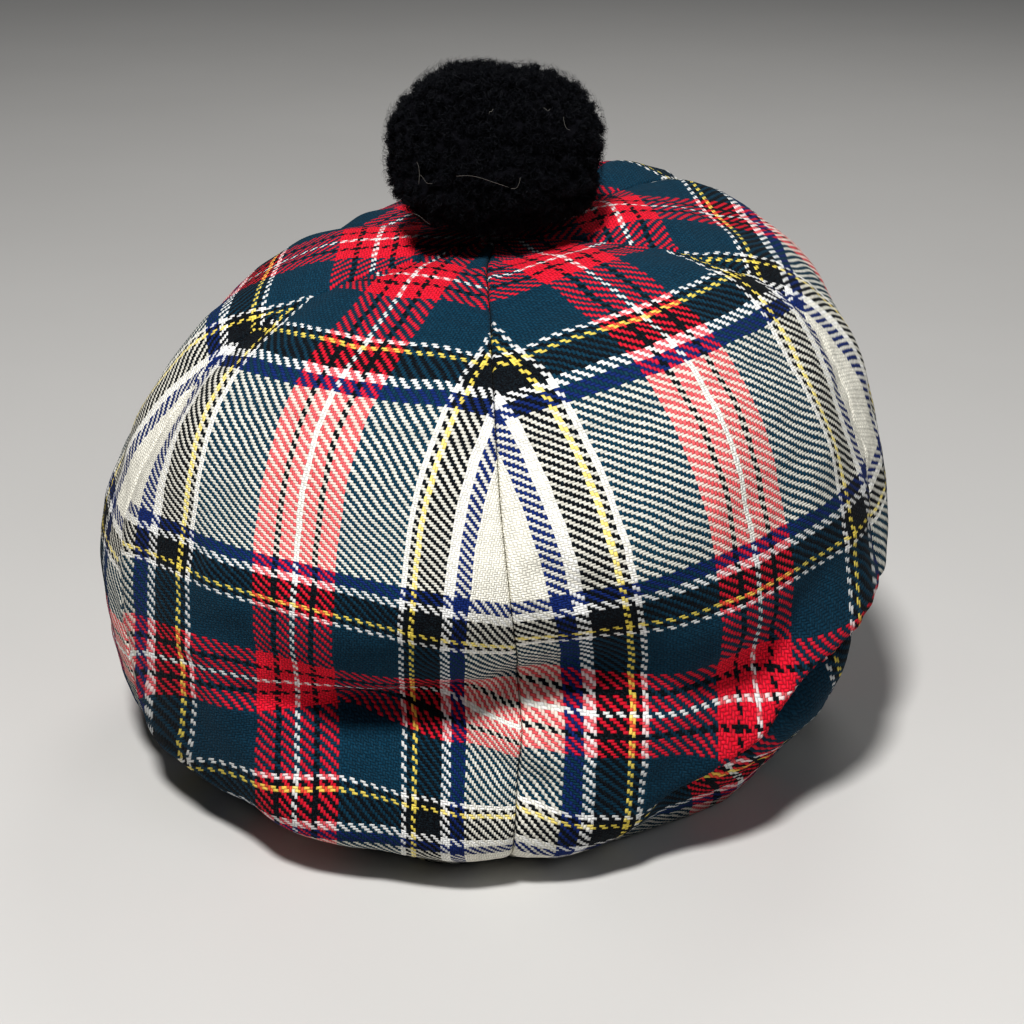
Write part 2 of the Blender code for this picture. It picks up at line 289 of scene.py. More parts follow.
def fold_distance(azimuth, share, rows):
    """Distance above a fold's line, in metres, and the fold's strength there."""
    across = (np.degrees(azimuth) + 180.0) % 360.0 - 180.0
    kernel = np.hanning(21) / np.hanning(21).sum()
    az, sh, amount = np.array(rows, float).T
    grid = np.linspace(az[0] - 6.0, az[-1] + 6.0, 300)
    line = np.convolve(np.pad(np.interp(grid, az, sh), 10, mode="edge"), kernel, mode="valid")
    strength = np.interp(grid, az, amount, left=0.0, right=0.0)
    strength = np.convolve(np.pad(strength, 10, mode="edge"), kernel, mode="valid")
    slope = np.gradient(line * SECTION_LENGTH, np.radians(grid) * CROWN_RADIUS)
    far = (np.interp(across, grid, line) - share) * SECTION_LENGTH
    far = far / np.sqrt(1.0 + np.interp(across, grid, slope) ** 2)
    return far, np.interp(across, grid, strength, left=0.0, right=0.0)


def fold_offset(azimuth, share):
    """Push out and sag of the sharper folds, in metres."""
    push = np.zeros(azimuth.shape)
    sag = np.zeros(azimuth.shape)
    for rows, depth, above, below, lip_sag, lip_place, lip_width in FOLDS:
        far, held = fold_distance(azimuth, share, rows)
        width = np.where(far > 0.0, above, below)
        push += held * depth * np.exp(-(far / width) ** 2)
        sag += held * lip_sag * np.exp(-((far - lip_place) / lip_width) ** 2)
    return push, sag


def to_azimuth(turn, share):
    """Azimuth of a place given by its even turn, with the seams' spread and stray."""
    pitch = 2.0 * math.pi / GORES
    stray = np.interp(share, *np.transpose(FRONT_SEAM))
    near = (turn + math.pi) % (2.0 * math.pi) - math.pi
    follow = np.where(np.abs(near) < pitch, np.cos(0.5 * math.pi * near / pitch) ** 2, 0.0)
    spread = SEAM_SPREAD * np.sin(turn) + SEAM_TURN * np.sin(turn) ** 2
    return turn + np.radians(spread + stray * follow)


def crown_points(turn, share, detail=0.0):
    """Outer surface of the crown, in the part's frame."""
    azimuth = to_azimuth(turn, share)
    radius = np.interp(share, SHARES, RADII)
    height = np.interp(share, SHARES, HEIGHTS)
    before, after = np.clip(share - 0.004, 0.0, 1.0), np.clip(share + 0.004, 0.0, 1.0)
    dr = np.interp(after, SHARES, RADII) - np.interp(before, SHARES, RADII)
    dz = np.interp(after, SHARES, HEIGHTS) - np.interp(before, SHARES, HEIGHTS)
    size = np.hypot(dr, dz)
    out_r, out_z = -dz / size, dr / size
    free = 1.0 - ease((share - FLOOR_SHARE) / (1.0 - FLOOR_SHARE))
    lower = ease((share - 0.25) / 0.5)
    wave = 0.0
    for count, top_peak, top_amount, low_peak, low_amount in OUTLINE_WAVES:
        wave = wave + (1.0 - lower) * top_amount * np.cos(count * (azimuth - math.radians(top_peak)))
        wave = wave + lower * low_amount * np.cos(count * (azimuth - math.radians(low_peak)))
    radius = radius * (1.0 + wave * free * ease(radius / (0.8 * CROWN_RADIUS)))
    pitch = 2.0 * math.pi / GORES
    from_seam = np.abs(turn / pitch - np.round(turn / pitch)) * pitch * np.maximum(radius, 0.001)
    dip = SEAM_DIP * np.exp(-(from_seam / SEAM_WIDTH) ** 2)
    dip = dip * ease(radius / (0.35 * CROWN_RADIUS)) * free
    push = crease_offset(azimuth, share, CREASES) * free - dip + detail * free
    radius = radius + out_r * push
    height = height + out_z * push
    x = radius * np.sin(azimuth)
    y = -radius * np.cos(azimuth)
    lift = np.clip(height / CROWN_HEIGHT, 0.0, 1.0) * free
    x = x + APEX_SIDE * lift
    y = y - APEX_FORWARD * lift
    height = height + (LEAN_SIDE * x + LEAN_BACK * y) * lift
    return np.stack([x, y, np.maximum(height, 0.0)], -1) + PLACE


def make_camera():
    """The photograph's view. Returns the eye and the ways right, up and forward."""
    away = Vector((math.sin(AZIMUTH) * math.cos(ELEVATION), -math.cos(AZIMUTH) * math.cos(ELEVATION),
                   math.sin(ELEVATION)))
    aim = Vector((0.0, 0.0, AIM_HEIGHT))
    eye = aim + away * DISTANCE
    right = Vector((math.cos(AZIMUTH), math.sin(AZIMUTH), 0.0))
    up = right.cross(-away)
    right, up = (math.cos(ROLL) * right - math.sin(ROLL) * up, math.sin(ROLL) * right + math.cos(ROLL) * up)
    # The view is aimed a little aside, so that the cap stands as in the photograph.
    aim = aim - right * (OFFSET[0] / PIXELS_PER_METRE) + up * (OFFSET[1] / PIXELS_PER_METRE)
    forward = (aim - eye).normalized()
    right = (right - forward * right.dot(forward)).normalized()
    up = right.cross(forward)
    data = bpy.data.cameras.new("camera")
    camera = bpy.data.objects.new("camera", data)
    bpy.context.scene.collection.objects.link(camera)
    camera.matrix_world = Matrix.Translation(eye) @ Matrix((right, up, -forward)).transposed().to_4x4()
    data.sensor_width = SENSOR
    data.sensor_fit = "HORIZONTAL"
    data.lens = SENSOR * PIXELS_PER_METRE * DISTANCE / PICTURE
    bpy.context.scene.camera = camera
    return [np.array(way) for way in (eye, right, up, forward)]


class Nodes:
    """Short ways to add shader nodes."""

    def __init__(self, name):
        self.material = bpy.data.materials.new(name)
        self.material.use_nodes = True
        self.tree = self.material.node_tree
        self.shader = self.tree.nodes["Principled BSDF"]

    def add(self, kind, **values):
        node = self.tree.nodes.new(kind)
        for key, value in values.items():
            setattr(node, key, value)
        return node

    def put(self, socket, value):
        if isinstance(value, bpy.types.NodeSocket):
            self.tree.links.new(value, socket)
        elif value is not None:
            socket.default_value = value

    def math(self, operation, a, b=None, c=None):
        node = self.add("ShaderNodeMath", operation=operation)
        for socket, value in zip(node.inputs, (a, b, c)):
            self.put(socket, value)
        return node.outputs[0]

    def mix(self, factor, a, b, kind="MIX"):
        node = self.add("ShaderNodeMix", data_type="RGBA", blend_type=kind)
        self.put(node.inputs[0], factor)
        self.put(node.inputs[6], a)
        self.put(node.inputs[7], b)
        return node.outputs[2]

    def noise(self, vector, scale, detail=2.0, rough=0.5):
        node = self.add("ShaderNodeTexNoise")
        self.put(node.inputs["Vector"], vector)
        node.inputs["Scale"].default_value = scale
        node.inputs["Detail"].default_value = detail
        node.inputs["Roughness"].default_value = rough
        return node.outputs[0]

    def spread(self, value, low, high):
        node = self.add("ShaderNodeMapRange")
        self.put(node.inputs[0], value)
        node.inputs[3].default_value = low
        node.inputs[4].default_value = high
        return node.outputs[0]

    def bump(self, height, distance, strength=1.0, normal=None):
        node = self.add("ShaderNodeBump")
        node.inputs["Strength"].default_value = strength
        node.inputs["Distance"].default_value = distance
        self.put(node.inputs["Height"], height)
        self.put(node.inputs["Normal"], normal)
        return node.outputs[0]


def tartan_material():
    """2/2 twill in wool, its colours read from the sett thread by thread."""
    n = Nodes("tartan_wool")
    shader = n.shader
    cloth = n.add("ShaderNodeUVMap", uv_map="cloth").outputs[0]
    parts = n.add("ShaderNodeSeparateXYZ")
    n.put(parts.inputs[0], cloth)
    place = n.add("ShaderNodeTexCoord").outputs["Object"]
    u = n.math("MULTIPLY", parts.outputs[0], UV_SPAN)
    v = n.math("MULTIPLY", parts.outputs[1], UV_SPAN)
    # The threads wander a little.
    wander = n.noise(place, 90.0, 2.0)
    drift = n.noise(place, 70.0, 2.0)
    u = n.math("ADD", u, n.spread(wander, -0.8, 0.8))
    v = n.math("ADD", v, n.spread(drift, -0.8, 0.8))
    u = n.math("ADD", u, n.spread(n.noise(place, 480.0, 2.0), -0.32, 0.32))
    v = n.math("ADD", v, n.spread(n.noise(place, 430.0, 2.0), -0.32, 0.32))
    iu = n.math("FLOOR", u)
    iv = n.math("FLOOR", v)
    fu = n.math("SUBTRACT", u, iu)
    fv = n.math("SUBTRACT", v, iv)
    step = n.math("FLOORED_MODULO", n.math("SUBTRACT", iu, iv), 4.0)
    warp_up = n.math("LESS_THAN", step, 1.5)

    def stripe(index, shift):
        """Colour of a thread, read from the sett, which runs out and back."""
        thread = n.math("ABSOLUTE", n.math("ADD", index, shift + 0.5))
        thread = n.math("PINGPONG", thread, float(HALF_SETT))
        thread = n.math("DIVIDE", thread, float(HALF_SETT))
        ramp = n.add("ShaderNodeValToRGB")
        ramp.color_ramp.interpolation = "CONSTANT"
        stops = ramp.color_ramp.elements
        while len(stops) > 1:
            stops.remove(stops[-1])
        stops[0].position = 0.0
        stops[0].color = (*COLOURS[SETT[0][1]], 1.0)
        for start, name in SETT[1:]:
            stop = stops.new(start / HALF_SETT)
            stop.color = (*COLOURS[name], 1.0)
        n.put(ramp.inputs[0], thread)
        return ramp.outputs[0]

    def thread_tone(index, seed):
        """Each thread a little lighter or darker than the next."""
        node = n.add("ShaderNodeTexWhiteNoise", noise_dimensions="1D")
        n.put(node.inputs["W"], n.math("ADD", index, seed))
        return n.spread(node.outputs[0], 0.86, 1.12)

    warp = n.mix(1.0, stripe(iu, 0.0), thread_tone(iu, 300.5), "MULTIPLY")
    weft = n.mix(1.0, stripe(iv, float(HALF_SETT)), thread_tone(iv, 900.5), "MULTIPLY")
    # Fibres of the crossing thread show through pale and red ones, and its darker
    # ones a little everywhere.
    colour = n.mix(warp_up, weft, warp)
    under = n.mix(warp_up, warp, weft)
    redness = n.add("ShaderNodeSeparateColor")
    n.put(redness.inputs[0], colour)
    shown = n.math("MULTIPLY", redness.outputs[0], 0.20)
    colour = n.mix(n.math("MINIMUM", shown, 0.20), colour, under)
    colour = n.mix(0.10, colour, under, "DARKEN")

    # Each float is a short rounded length of yarn.
    along_warp = n.math("FLOORED_MODULO", n.math("ADD", n.math("SUBTRACT", iu, v), 1.0), 4.0)
    along_weft = n.math("SUBTRACT", n.math("FLOORED_MODULO", n.math("SUBTRACT", u, iv), 4.0), 2.0)

    def rounded(along, across):
        """Height of a float, from its place along and across, each 0 to 1 over it."""
        a = n.math("SINE", n.math("MULTIPLY", n.math("MULTIPLY", along, 0.5), math.pi))
        b = n.math("SINE", n.math("MULTIPLY", across, math.pi))
        both = n.math("MULTIPLY", n.math("MAXIMUM", a, 0.0), n.math("MAXIMUM", b, 0.0))
        return n.math("SQRT", both)

    mixer = n.add("ShaderNodeMix", data_type="FLOAT")
    n.put(mixer.inputs[0], warp_up)
    n.put(mixer.inputs[2], rounded(along_weft, fv))
    n.put(mixer.inputs[3], rounded(along_warp, fu))
    relief = mixer.outputs[0]
    fuzz = n.noise(place, 2600.0, 3.0, 0.65)
    patch = n.noise(place, 18.0, 3.0, 0.6)
    # Painted shade: the gaps between floats are darkened, to 0.42 of the colour on dark threads and less on
    # pale ones, and the crowns of the floats are lightened a little; fuzz and patch noise then vary the tone
    # at random.
    lightness = n.math("MULTIPLY", n.math("MINIMUM", redness.outputs[1], 0.8), 0.42)
    shade = n.add("ShaderNodeMapRange")
    n.put(shade.inputs[0], relief)
    n.put(shade.inputs[3], n.math("ADD", lightness, 0.42))
    shade.inputs[4].default_value = 1.12
    shade = shade.outputs[0]
    shade = n.math("MULTIPLY", shade, n.spread(fuzz, 0.72, 1.28))
    shade = n.math("MULTIPLY", shade, n.spread(patch, 0.95, 1.05))
    colour = n.mix(1.0, colour, shade, "MULTIPLY")
    # Loose wool fibre greys the dark threads in specks.
    haze = n.spread(n.noise(place, 1500.0, 3.0, 0.75), -1.45, 1.75)
    haze = n.math("MULTIPLY", n.math("MAXIMUM", haze, 0.0), 0.07)
    colour = n.mix(haze, colour, (0.16, 0.36, 0.48, 1.0))
    n.put(shader.inputs["Base Color"], colour)
    shader.inputs["Roughness"].default_value = 0.88
    shader.inputs["Specular IOR Level"].default_value = 0.08
    shader.inputs["Sheen Weight"].default_value = 0.02
    shader.inputs["Sheen Roughness"].default_value = 0.5
    height = n.math("ADD", relief, n.math("MULTIPLY", fuzz, 0.35))
    n.put(shader.inputs["Normal"], n.bump(height, 0.00035, 0.8))
    return n.material


def yarn_material():
    """Matted black yarn, fibrous and clumped."""
    n = Nodes("pompom_yarn")
    place = n.add("ShaderNodeTexCoord").outputs["Object"]
    fibre = n.noise(place, 1800.0, 4.0, 0.7)
    clump = n.noise(place, 220.0, 3.0, 0.6)
    tone = n.mix(n.spread(clump, 0.0, 1.0), (0.0012, 0.0012, 0.0018, 1.0), (0.0055, 0.0055, 0.0080, 1.0))
    tone = n.mix(1.0, tone, n.spread(fibre, 0.6, 1.5), "MULTIPLY")
    n.put(n.shader.inputs["Base Color"], tone)
    n.shader.inputs["Roughness"].default_value = 0.85
    n.shader.inputs["Specular IOR Level"].default_value = 0.06
    n.shader.inputs["Sheen Weight"].default_value = 0.01
    n.shader.inputs["Sheen Roughness"].default_value = 0.4
    n.shader.inputs["Sheen Tint"].default_value = (0.55, 0.62, 0.85, 1.0)
    n.put(n.shader.inputs["Normal"], n.bump(n.math("ADD", fibre, clump), 0.0006, 0.9))
    return n.material


def hair_material(name, colour, gloss):
    """One fibre or thread, its colour uneven along it."""
    n = Nodes(name)
    place = n.add("ShaderNodeTexCoord").outputs["Object"]
    tone = n.mix(n.noise(place, 400.0, 2.0), colour, tuple(0.6 * c for c in colour[:3]) + (1.0,))
    n.put(n.shader.inputs["Base Color"], tone)
    n.shader.inputs["Roughness"].default_value = 0.7
    n.shader.inputs["Specular IOR Level"].default_value = gloss
    return n.material


def band_material():
    """Ribbed cotton tape."""
    n = Nodes("headband_tape")
    cloth = n.add("ShaderNodeUVMap", uv_map="cloth").outputs[0]
    parts = n.add("ShaderNodeSeparateXYZ")
    n.put(parts.inputs[0], cloth)
    place = n.add("ShaderNodeTexCoord").outputs["Object"]
    rib = n.math("SINE", n.math("MULTIPLY", parts.outputs[1], 2.0 * math.pi * 22.0))
    pick = n.math("SINE", n.math("MULTIPLY", parts.outputs[0], 2.0 * math.pi * 700.0))
    relief = n.math("MULTIPLY", n.math("ADD", rib, n.math("MULTIPLY", pick, 0.4)), 0.5)
    fuzz = n.noise(place, 1500.0, 3.0)
    # Painted shade: the grooves between the ribs are darker and the tops of the ribs lighter; fine noise
    # varies the tone at random.
    tone = n.mix(n.spread(relief, 0.1, 0.9), (0.008, 0.008, 0.010, 1.0), (0.028, 0.028, 0.032, 1.0))
    tone = n.mix(1.0, tone, n.spread(fuzz, 0.75, 1.25), "MULTIPLY")
    n.put(n.shader.inputs["Base Color"], tone)
    n.shader.inputs["Roughness"].default_value = 0.8
    n.put(n.shader.inputs["Normal"], n.bump(n.math("ADD", relief, fuzz), 0.0003, 0.7))
    return n.material


def mesh_object(name, verts, faces, material, uvs=None):
    """New smooth object, with cloth coordinates where they are given."""
    mesh = bpy.data.meshes.new(name)
    mesh.from_pydata([tuple(v) for v in verts], [], faces)
    if uvs is not None:
        layer = mesh.uv_layers.new(name="cloth")
        loops = np.empty(len(mesh.loops), dtype=np.int32)
        mesh.loops.foreach_get("vertex_index", loops)
        layer.data.foreach_set("uv", np.asarray(uvs, dtype=np.float32)[loops].ravel())
    mesh.materials.append(material)
    mesh.shade_smooth()
    mesh.update()
    obj = bpy.data.objects.new(name, mesh)
    bpy.context.scene.collection.objects.link(obj)
    return obj


def grid_faces(rows, columns):
    """Faces of a grid of points."""
    faces = []
    for i in range(rows - 1):
        for j in range(columns - 1):
            a, b = i * columns + j, (i + 1) * columns + j
            faces.append((a, b, b + 1, a + 1))
    return faces


def smooth_table(values, share):
    """Value at each share of a table even over the section, without corners."""
    fine = np.interp(np.linspace(0.0, 1.0, 400), np.linspace(0.0, 1.0, len(values)), values)
    fine = np.concatenate([2.0 * fine[0] - fine[30:0:-1], fine, 2.0 * fine[-1] - fine[-2:-32:-1]])
    fine = np.convolve(fine, np.hanning(61) / np.hanning(61).sum(), mode="valid")
    return np.interp(share, np.linspace(0.0, 1.0, 400), fine)


def lay_terms(x, share):
    """Terms for threads down and across, with x = u/80, y = 2 share - 1 and, over the
    lower half only, low = yy."""
    y = 2.0 * share - 1.0
    low = np.clip(y, 0.0, 1.0) ** 2
    down = (x, x * x, x * y, x * x * y, x * low, x * x * low)
    across = (np.ones_like(x), x, y, x * y, x * x, y * y, x * x * y, x * y * y, low, x * low)
    return np.stack(down, -1), np.stack(across, -1)


def tied_fit(terms, values, trust, ties, goals, slack):
    """Least squares with weak ties, where marks that are far off count for less."""
    full = trust
    for _ in range(6):
        rows = np.vstack([terms * trust[:, None], ties])
        found = np.linalg.lstsq(rows, np.concatenate([values * trust, goals]), rcond=None)[0]
        trust = full / np.sqrt(np.maximum(1.0, np.abs(values - terms @ found) / slack))
    return found


def table_ties():
    """Ties of the threads' table and their goals."""
    unit_rows = np.eye(TABLE_ROWS)
    step = np.full(TABLE_ROWS - 1, STEP_TIE)
    step[-2:] = LAST_STEPS_TIE
    bend = BEND_TIE * np.diff(unit_rows, 2, axis=0)
    even = step[:, None] * np.diff(unit_rows, axis=0)
    ties = np.vstack([bend, APEX_TIE * unit_rows[:1], even])
    goals = np.concatenate([np.zeros(len(bend)), [APEX_TIE * APEX_THREAD], STEP_THREADS * step])
    return ties, goals


def seen_at(points, x, y):
    """Row and column of the gore's grid that the camera sees at a pixel."""
    eye, right, up, forward = VIEW
    away = points - eye
    depth = away @ forward
    scale = PIXELS_PER_METRE * DISTANCE / depth
    gap = np.hypot(0.5 * PICTURE + scale * (away @ right) - x, 0.5 * PICTURE - scale * (away @ up) - y)
    normal = np.cross(np.gradient(points, axis=0), np.gradient(points, axis=1))
    if np.sum(normal * (points - PLACE - (0.0, 0.0, 0.5 * CROWN_HEIGHT))) < 0.0:
        normal = -normal
    gap = np.where(np.sum(normal * away, -1) < 0.0, gap, np.inf)
    near = gap < gap.min() + 1.5
    return np.unravel_index(np.argmin(np.where(near, depth, np.inf)), depth.shape)


def lay_cloth(marks, faint, points, u, share):
    """Threads across and down over a front gore, laid through its marks."""
    trust = np.array([1.0] * len(marks) + [FAINT_TRUST] * len(faint))
    marks = marks + faint
    spots = [seen_at(points, x, y) for _, _, x, y in marks]
    place_u = np.array([u[spot] for spot in spots])
    place_share = np.array([share[spot] for spot in spots])
    down, across = lay_terms(place_u / 80.0, place_share)
    table = np.stack([smooth_table(row, place_share) for row in np.eye(TABLE_ROWS)], -1)
    known = np.array([mark[1] is not None for mark in marks])
    values = np.array([mark[1] for mark in marks if mark[1] is not None], float)
    ties, goals = table_ties()
    ties = np.block([[ties, np.zeros((len(ties), len(DOWN_TIES)))],
                     [np.zeros((len(DOWN_TIES), TABLE_ROWS)), np.diag(DOWN_TIES)]])
    goals = np.concatenate([goals, np.zeros(len(DOWN_TIES))])
    found = tied_fit(np.hstack([table, down])[known], values, trust[known], ties, goals, DOWN_SLACK)
    known = np.array([mark[0] is not None for mark in marks])
    values = np.array([mark[0] for mark in marks if mark[0] is not None], float) - place_u[known]
    shift = tied_fit(across[known], values, trust[known], np.diag(np.sqrt(ACROSS_TIES)),
                     np.zeros(len(ACROSS_TIES)), ACROSS_SLACK)
    down, across = lay_terms(u / 80.0, share)
    return u + across @ shift, smooth_table(found[:TABLE_ROWS], share) + down @ found[TABLE_ROWS:]


def length_down(points):
    """Length of each column of points, from its first row."""
    steps = np.linalg.norm(np.diff(points, axis=0), axis=2)
    return np.vstack([np.zeros((1, points.shape[1])), np.cumsum(steps, axis=0)])


def cloth_threads(index, base, points, turn, share, push):
    """Cloth coordinates in threads: u across from the gore's middle, v down. The cloth
    gives a little where the sharper folds pull it in."""
    centre = (index + 0.5) * 2.0 * math.pi / GORES
    radius = np.interp(share, SHARES, RADII)
    shares = np.broadcast_to(share, turn.shape)
    azimuth = to_azimuth(turn, shares)
    u = (azimuth - to_azimuth(centre, share)) * radius / THREAD
    if index in MARKS:
        # Cloth at a fold is pushed straight back, so the threads down stay straight.
        back = crease_offset(azimuth, shares, CREASES) + push
        aside = np.clip((azimuth + math.pi) % (2.0 * math.pi) - math.pi, -1.0, 1.0)
        u = u + back * np.tan(aside) / THREAD
        faint = FAINT_MARKS if index == 0 else ()
        u, v = lay_cloth(MARKS[index], faint, points, u, shares)
    else:
        length = 0.75 * length_down(base) + 0.25 * length_down(points)
        slope = np.interp(share, SHARES, RADIUS_SLOPE)
        hang = slope * (u * THREAD) ** 2 / (2.0 * np.maximum(radius, 0.02)) / THREAD
        v = (length + APEX_HOLE) / THREAD - hang - V_START
    if index == 0:
        far, held = fold_distance(azimuth, shares, FOLDS[RIDGE_ROW][0])
        beyond = held * ease((-far - 0.0005) / 0.0035)
        u = u + TUCK_ACROSS * beyond * np.exp(np.minimum(far, 0.0) / TUCK_REACH_ACROSS)
        v = v + TUCK_DOWN * beyond * np.exp(np.minimum(far, 0.0) / TUCK_REACH_DOWN)
    return u, v


def make_gore(index, material):
    """One wedge of the crown, its edges rolled over into the seams."""
    pitch = 2.0 * math.pi / GORES
    centre = (index + 0.5) * pitch
    rows = 190
    inner = 66
    first = float(np.interp(APEX_HOLE, RADII[:100], SHARES[:100]))
    share = np.linspace(first, 1.0, rows)[:, None]
    radius = np.interp(share, SHARES, RADII)
    # Columns: even over the gore, then close together along both seams.
    across = np.linspace(-1.0, 1.0, inner)[None, :]
    edge = np.array(EDGE_STEPS)[None, :]
    half = 0.5 * pitch - 0.00006 / radius
    limit = half - 0.0026 / np.maximum(radius, 0.02)
    limit = np.maximum(limit, 0.6 * half)
    left = -(half - edge / np.maximum(radius, 0.012) * np.minimum(radius / 0.02, 1.0))
    turn_in = np.concatenate([left, across * limit, -left[:, ::-1]], axis=1)
    turn = centre + turn_in
    shares = np.broadcast_to(share, turn.shape)
    from_edge = (half - np.abs(turn_in)) * radius
    # Cloth rolls over at the seam and puckers beside it.
    inside = np.clip(SEAM_ROLL - from_edge, 0.0, SEAM_ROLL)
    drop = SEAM_ROLL - np.sqrt(np.maximum(SEAM_ROLL ** 2 - inside * inside, 0.0))
    base = crown_points(turn, shares)
    fine = 0.00075 * waves(base, 0.055, 26, 3) + 0.00022 * waves(base, 0.017, 26, 4)
    pucker = np.exp(-from_edge / 0.007)
    fine = fine * (1.0 - 0.6 * pucker) + 0.00035 * pucker * waves(base, 0.010, 20, 5)
    push, sag = fold_offset(to_azimuth(turn, shares), shares)
    points = crown_points(turn, shares, fine - drop + push)
    points[..., 2] = np.maximum(points[..., 2] - sag, 0.0)
    # Seam allowance: the edge runs on inwards.
    middle = np.array([PLACE[0], PLACE[1] - 0.006, 0.085])
    flange = []
    for side in (0, -1):
        edge_line = points[:, side]
        inward = middle - edge_line
        inward[:, 2] *= 0.6
        inward /= np.linalg.norm(inward, axis=1)[:, None]
        keep = np.clip(1.0 - (share[:, 0] - 0.80) / 0.05, 0.05, 1.0)[:, None]
        flange.append([edge_line + inward * depth * keep for depth in ALLOWANCE])
    points = np.concatenate([flange[0][1][:, None], flange[0][0][:, None], points,
                             flange[1][0][:, None], flange[1][1][:, None]], axis=1)
    points[..., 2] = np.maximum(points[..., 2], 0.0)
    u, v = cloth_threads(index, base, points[:, 2:-2], turn, share, push)
    uv = np.stack([u, v], -1)
    near, far = ALLOWANCE_THREADS
    uv = np.concatenate([uv[:, :1] - (far, 0), uv[:, :1] - (near, 0), uv, uv[:, -1:] + (near, 0),
                         uv[:, -1:] + (far, 0)], axis=1) / UV_SPAN
    count = points.shape[1]
    obj = mesh_object("crown_gore_%d" % (index + 1), points.reshape(-1, 3),
                      grid_faces(rows, count), material, uv.reshape(-1, 2))
    probe = obj.data.polygons[(rows // 2) * (count - 1) + count // 2]
    outward = Vector(probe.center) - Vector((PLACE[0], PLACE[1], 0.08))
    if probe.normal.dot(outward) < 0.0:
        obj.data.flip_normals()
    wall = obj.modifiers.new("cloth", "SOLIDIFY")
    wall.thickness = SHEET_WALL
    wall.offset = -1.0
    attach(obj, "root")
    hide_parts("gore_%d" % (index + 1))
    return obj


def make_band(material):
    """Headband: a tape folded over at both edges."""
    steps = 240
    wall = BAND_WALL
    outline = []
    for centre_z, way in ((BAND_HEIGHT - 0.5 * wall, 1.0), (0.5 * wall, -1.0)):
        for k in range(9):
            angle = math.pi * k / 8.0
            r = HEAD_RADIUS + 0.5 * wall + way * 0.5 * wall * math.cos(angle)
            z = centre_z + way * 0.5 * wall * math.sin(angle)
            outline.append((r, z))
    outline = np.array(outline)
    turn = np.linspace(0.0, 2.0 * math.pi, steps, endpoint=False)
    verts, uvs = [], []
    for i, (r, z) in enumerate(outline):
        for t in turn:
            verts.append((PLACE[0] + r * math.sin(t), PLACE[1] - r * math.cos(t), max(z, 0.0)))
            uvs.append((t / (2.0 * math.pi), z / BAND_HEIGHT))
    count = len(outline)
    faces = []
    for i in range(count):
        for j in range(steps):
            a, b = i * steps + j, i * steps + (j + 1) % steps
            c, d = ((i + 1) % count) * steps + (j + 1) % steps, ((i + 1) % count) * steps + j
            faces.append((a, b, c, d))
    obj = mesh_object("headband_tape", verts, faces, material, uvs)
    bm = bmesh.new()
    bm.from_mesh(obj.data)
    bmesh.ops.recalc_face_normals(bm, faces=bm.faces)
    bm.to_mesh(obj.data)
    bm.free()
    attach(obj, "root")
    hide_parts("headband")
    return obj


def tube(path, radius, sides, verts, faces, taper=0.0):
    """Adds a closed tube along a path of points to the lists."""
    path = np.asarray(path)
    count = len(path)
    start = len(verts)
    along = np.gradient(path, axis=0)
    along /= np.linalg.norm(along, axis=1)[:, None] + 1e-12
    side = np.cross(along[0], (0.31, 0.62, 0.72))
    side /= np.linalg.norm(side)
    for i in range(count):
        side = side - along[i] * float(side @ along[i])
        side /= np.linalg.norm(side) + 1e-12
        other = np.cross(along[i], side)
        size = radius * (1.0 - taper * (i / (count - 1.0)))
        for k in range(sides):
            angle = 2.0 * math.pi * k / sides
            verts.append(path[i] + size * (math.cos(angle) * side + math.sin(angle) * other))
    for i in range(count - 1):
        for k in range(sides):
            a, b = start + i * sides + k, start + i * sides + (k + 1) % sides
            faces.append((a, b, b + sides, a + sides))
    faces.append(tuple(start + k for k in reversed(range(sides))))
    faces.append(tuple(start + (count - 1) * sides + k for k in range(sides)))


def even_directions(count, jitter, seed):
    """Directions spread evenly over a ball, each moved a little at random."""
    local = np.random.default_rng(seed)
    i = np.arange(count)
    z = 1.0 - 2.0 * (i + 0.5) / count
    ring = np.sqrt(1.0 - z * z)
    turn = i * math.pi * (3.0 - math.sqrt(5.0))
    rows = np.stack([ring * np.cos(turn), ring * np.sin(turn), z], 1)
    rows += local.normal(0.0, jitter, rows.shape)
    return rows / np.linalg.norm(rows, axis=1)[:, None]


def strands(name, paths, width, material):
    """Flat fibres along many paths at once, each tapering to its tip."""
    count, steps, _ = paths.shape
    local = np.random.default_rng(count)
    along = np.gradient(paths, axis=1)
    side = np.cross(along, local.normal(0.0, 1.0, (count, 1, 3)))
    side /= np.linalg.norm(side, axis=2)[..., None] + 1e-12
    taper = np.linspace(1.0, 0.35, steps)[None, :, None]
    half = 0.5 * np.reshape(width, (-1, 1, 1)) * taper * side
    verts = np.stack([paths - half, paths + half], 2).reshape(-1, 3)
    first = (np.arange(count)[:, None] * steps + np.arange(steps - 1)[None, :]).ravel() * 2
    faces = np.stack([first, first + 1, first + 3, first + 2], 1)
    return mesh_object(name, verts.tolist(), faces.tolist(), material)


def unit(rows):
    """Rows scaled to length 1."""
    return rows / (np.linalg.norm(rows, axis=-1, keepdims=True) + 1e-12)


